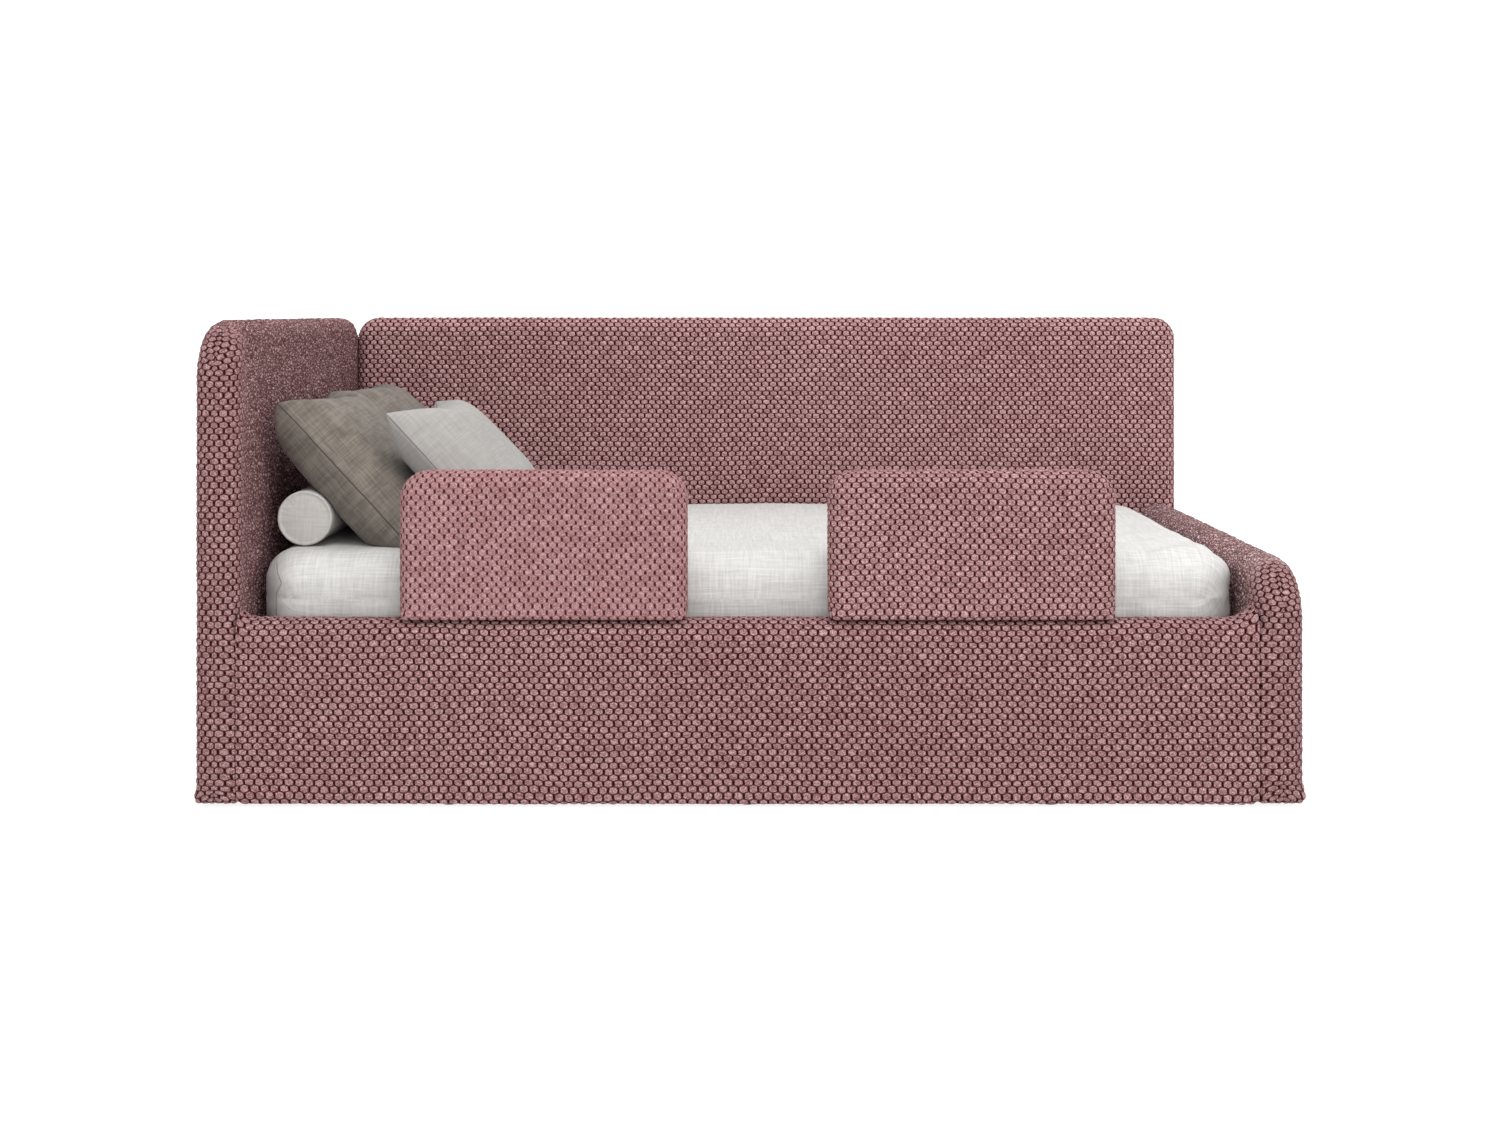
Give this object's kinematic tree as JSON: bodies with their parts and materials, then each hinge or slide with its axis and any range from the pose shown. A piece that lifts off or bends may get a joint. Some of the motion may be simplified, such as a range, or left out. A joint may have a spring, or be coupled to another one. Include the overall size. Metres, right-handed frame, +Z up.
{
  "type": "toddler bed",
  "caption": "Upholstered toddler day bed with a tall headboard and back panel, a low footboard, a front board with lift-off guard cushions, a slatted base and bedding.",
  "frame": {"origin": "centre of the footprint at floor level", "axes": "+X along the bed from the headboard to the footboard, +Y from the open front to the back panel, +Z up"},
  "size_m": [1.764, 0.95, 0.772],
  "materials": {
    "plywood": "sanded birch plywood",
    "pine": "planed pine",
    "birch_slat": "sanded birch",
    "foam": "open-cell upholstery foam",
    "rose_weave": "chunky basket-weave chenille",
    "zinc_steel": "zinc-plated steel",
    "bright_steel": "satin steel",
    "black_plastic": "satin moulded plastic",
    "white_linen": "washed linen",
    "grey_linen": "washed linen",
    "cream_linen": "washed linen",
    "bolster_linen": "washed linen",
    "filling": "hollow-fibre filling"
  },
  "bodies": {
    "frame": {"headboard_core": "plywood", "headboard_foam": "foam", "headboard_cover": "rose_weave", "back_panel_core": "plywood", "back_panel_foam": "foam", "back_panel_cover": "rose_weave", "footboard_core": "plywood", "footboard_foam": "foam", "footboard_cover": "rose_weave", "front_board_core": "plywood", "front_board_foam": "foam", "front_board_cover": "rose_weave", "front_ledger": "pine", "back_ledger": "pine", "ledger_screws": "bright_steel", "slat_01": "birch_slat", "slat_02": "birch_slat", "slat_03": "birch_slat", "slat_04": "birch_slat", "slat_05": "birch_slat", "slat_06": "birch_slat", "slat_07": "birch_slat", "slat_08": "birch_slat", "slat_09": "birch_slat", "slat_10": "birch_slat", "slat_11": "birch_slat", "slat_12": "birch_slat", "slat_13": "birch_slat", "slat_14": "birch_slat", "slat_screws": "bright_steel", "bracket_head_front": "zinc_steel", "bracket_head_back": "zinc_steel", "bracket_foot_front": "zinc_steel", "bracket_foot_back": "zinc_steel", "bracket_bolts": "bright_steel", "threaded_inserts": "bright_steel", "floor_glides": "black_plastic", "guard_sockets": "bright_steel"},
    "guard_left": {"guard_left_core": "plywood", "guard_left_foam": "foam", "guard_left_cover": "rose_weave", "guard_left_pins": "bright_steel"},
    "guard_right": {"guard_right_core": "plywood", "guard_right_foam": "foam", "guard_right_cover": "rose_weave", "guard_right_pins": "bright_steel"},
    "mattress": {"mattress_foam": "foam", "mattress_sheet": "white_linen"},
    "bolster": {"bolster_filling": "filling", "bolster_cover": "bolster_linen"},
    "grey_pillow_rear": {"grey_pillow_rear_filling": "filling", "grey_pillow_rear_cover": "grey_linen"},
    "grey_pillow_front": {"grey_pillow_front_filling": "filling", "grey_pillow_front_cover": "grey_linen"},
    "white_pillow": {"white_pillow_filling": "filling", "white_pillow_cover": "cream_linen"}
  },
  "joints": [
    {"name": "mattress_lift", "type": "slide", "parent": "frame", "child": "mattress", "axis": [0, 0, 1], "range_m": [0, 0.2]},
    {"name": "guard_left_lift", "type": "slide", "parent": "frame", "child": "guard_left", "axis": [0, 0, 1], "range_m": [0, 0.12]},
    {"name": "guard_right_lift", "type": "slide", "parent": "frame", "child": "guard_right", "axis": [0, 0, 1], "range_m": [0, 0.12]},
    {"name": "bolster_lift", "type": "slide", "parent": "mattress", "child": "bolster", "axis": [0, 0, 1], "range_m": [0, 0.1]},
    {"name": "grey_pillow_rear_lift", "type": "slide", "parent": "bolster", "child": "grey_pillow_rear", "axis": [0, 0, 1], "range_m": [0, 0.12]},
    {"name": "grey_pillow_front_lift", "type": "slide", "parent": "grey_pillow_rear", "child": "grey_pillow_front", "axis": [0, 0, 1], "range_m": [0, 0.12]},
    {"name": "white_pillow_lift", "type": "slide", "parent": "grey_pillow_front", "child": "white_pillow", "axis": [0, 0, 1], "range_m": [0, 0.12]}
  ]
}
